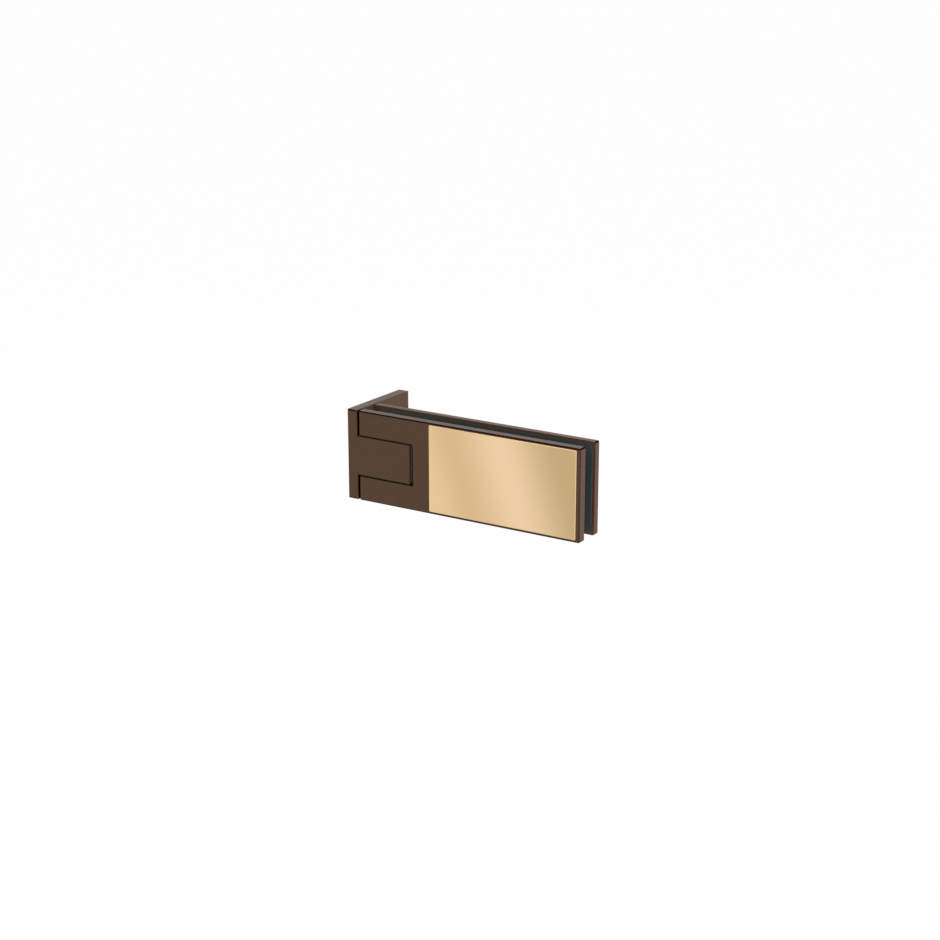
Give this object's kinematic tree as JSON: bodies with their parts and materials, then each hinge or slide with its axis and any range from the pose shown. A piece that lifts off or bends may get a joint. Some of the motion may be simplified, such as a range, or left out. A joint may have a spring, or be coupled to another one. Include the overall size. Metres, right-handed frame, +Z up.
{
  "type": "lift hinge",
  "caption": "Wall-to-glass lift hinge for a frameless shower door: a clamp leaf with a polished inlay swings on a knuckle that rises on the wall leg as the door opens",
  "frame": {"origin": "on the wall face, at mid-height, in line with the middle of the glass", "axes": "+X out of the wall along the glass with the door shut, +Y towards the rear of the door, +Z up along the pivot"},
  "size_m": [0.1268, 0.044, 0.044],
  "materials": {
    "brown_coat": "satin brown coating on cast metal",
    "polished_gold": "polished, pale gold",
    "gasket_rubber": "matt dark grey",
    "hard_steel": "ground stainless",
    "bare_alloy": "bare, as cast",
    "dark_alloy": "dark grey anodised",
    "bearing_plastic": "dark grey bearing plastic",
    "tape": "white foam tape"
  },
  "bodies": {
    "wall": {"wall_leg": "brown_coat", "lift_peg": "hard_steel"},
    "carriage": {"knuckle": "dark_alloy", "knuckle_cover": "brown_coat", "knuckle_back_cover": "brown_coat", "pivot_bushes": "bearing_plastic"},
    "leaf": {"pivot_pin": "hard_steel", "front_body": "brown_coat", "pin_caps": "bare_alloy", "cap_screws": "hard_steel", "accent_inlay": "polished_gold", "inlay_tape": "tape", "front_gasket": "gasket_rubber", "rear_gasket": "gasket_rubber", "rear_plate": "brown_coat", "clamp_screws": "hard_steel", "glass_sleeves": "bearing_plastic"}
  },
  "joints": [
    {"name": "lift", "type": "slide", "parent": "wall", "child": "carriage", "axis": [0, 0, 1], "range_m": [0, 0.005]},
    {"name": "swing", "type": "hinge", "parent": "carriage", "child": "leaf", "pos_m": [0.0223, -0.0028, 0], "axis": [0, 0, -1], "range_deg": [0, 90]}
  ],
  "couplings": [
    {"joint": "lift", "follows": "swing", "m_per_rad": 0.003183}
  ]
}
